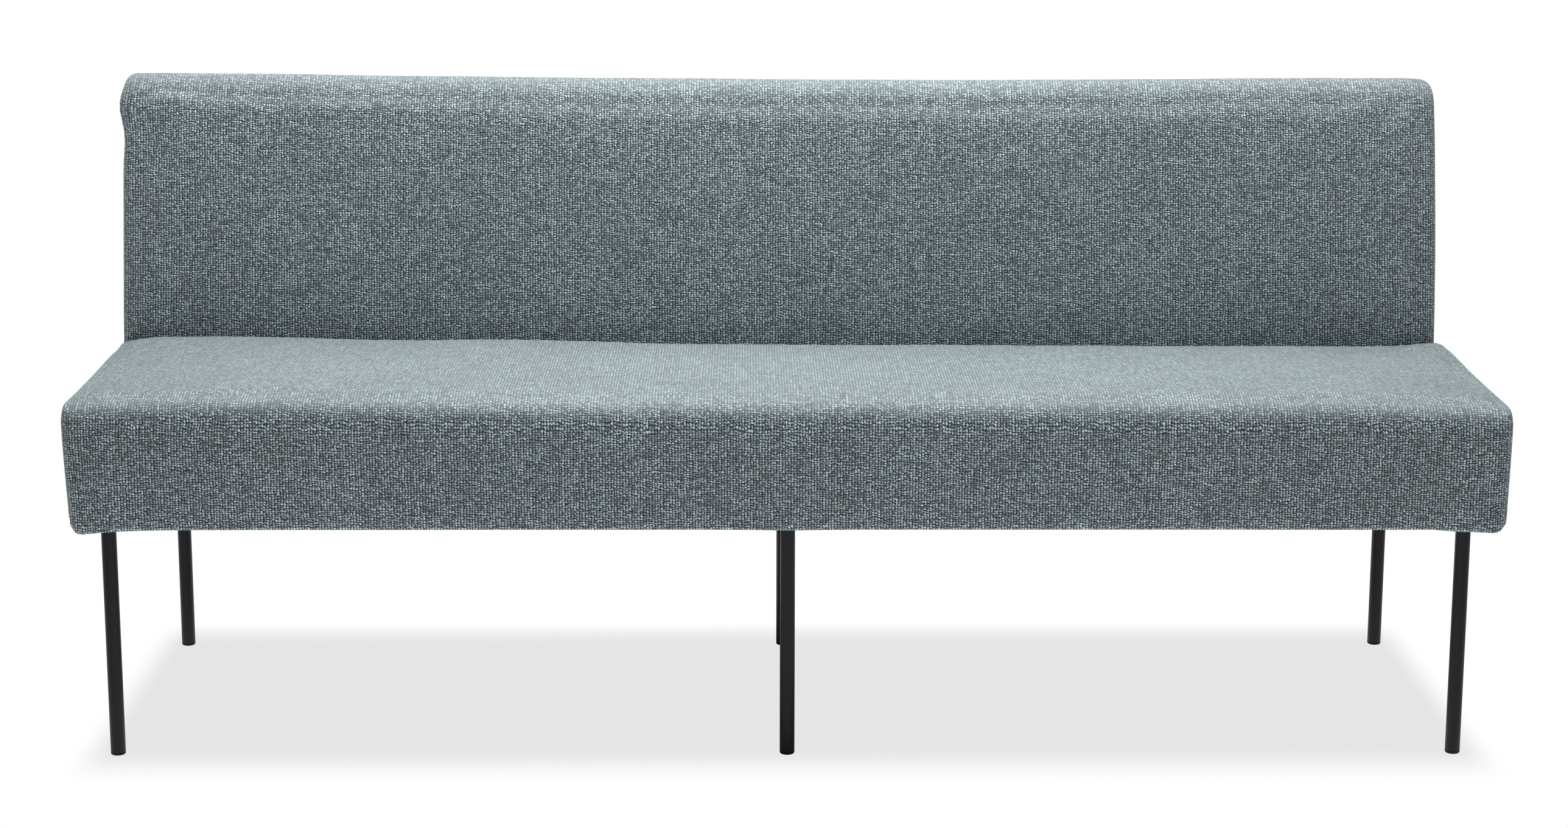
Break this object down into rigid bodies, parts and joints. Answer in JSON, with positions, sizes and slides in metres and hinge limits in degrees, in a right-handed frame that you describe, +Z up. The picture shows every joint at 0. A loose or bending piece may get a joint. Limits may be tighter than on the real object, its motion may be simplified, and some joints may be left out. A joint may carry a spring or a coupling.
{
  "type": "upholstered dining bench",
  "caption": "Long dining bench with a padded seat, a full-length reclined padded back and slim round metal legs, for several people to sit at a table.",
  "frame": {"origin": "on the floor, under the middle of the bench", "axes": "X along the bench, front faces -Y, Z up"},
  "size_m": [1.9, 0.6199, 0.8599],
  "materials": {
    "upholstery_fabric": "chunky blue-grey melange weave, matt",
    "leg_paint": "fine matt black powder coat",
    "glide_plastic": "moulded black plastic",
    "dust_cloth": "thin black nonwoven",
    "timber": "planed softwood",
    "plywood": "sawn birch plywood",
    "hardboard": "smooth hardboard",
    "foam": "open cell foam",
    "felt": "needled grey felt",
    "webbing": "woven elastic strap",
    "zinc_steel": "bright zinc plate"
  },
  "bodies": {
    "root": {"back_base_plank": "timber", "back_bolts": "zinc_steel", "back_centre_rib": "plywood", "back_cover": "upholstery_fabric", "back_foam": "foam", "back_front_panel": "hardboard", "back_left_pad": "foam", "back_left_rib": "plywood", "back_mid_left_rib": "plywood", "back_mid_right_rib": "plywood", "back_rear_pad": "foam", "back_rear_panel": "hardboard", "back_right_pad": "foam", "back_right_rib": "plywood", "back_tee_nuts": "zinc_steel", "back_top_rail": "timber", "back_washers": "zinc_steel", "base_centre_cross_rail": "timber", "base_front_pad": "foam", "base_front_rail": "timber", "base_left_cross_rail": "timber", "base_left_end_rail": "timber", "base_left_pad": "foam", "base_leg_blocks": "timber", "base_mid_rail": "timber", "base_rear_deck": "timber", "base_rear_pad": "foam", "base_rear_rail": "timber", "base_right_cross_rail": "timber", "base_right_end_rail": "timber", "base_right_pad": "foam", "dust_cover": "dust_cloth", "front_left_leg": "leg_paint", "front_left_leg_glide": "glide_plastic", "front_left_leg_plate": "leg_paint", "front_middle_leg": "leg_paint", "front_middle_leg_glide": "glide_plastic", "front_middle_leg_plate": "leg_paint", "front_right_leg": "leg_paint", "front_right_leg_glide": "glide_plastic", "front_right_leg_plate": "leg_paint", "leg_screws": "zinc_steel", "rear_left_leg": "leg_paint", "rear_left_leg_glide": "glide_plastic", "rear_left_leg_plate": "leg_paint", "rear_middle_leg": "leg_paint", "rear_middle_leg_glide": "glide_plastic", "rear_middle_leg_plate": "leg_paint", "rear_right_leg": "leg_paint", "rear_right_leg_glide": "glide_plastic", "rear_right_leg_plate": "leg_paint", "seat_cover": "upholstery_fabric", "seat_cross_webbing": "webbing", "seat_felt": "felt", "seat_foam": "foam", "seat_long_webbing": "webbing"}
  },
  "joints": []
}
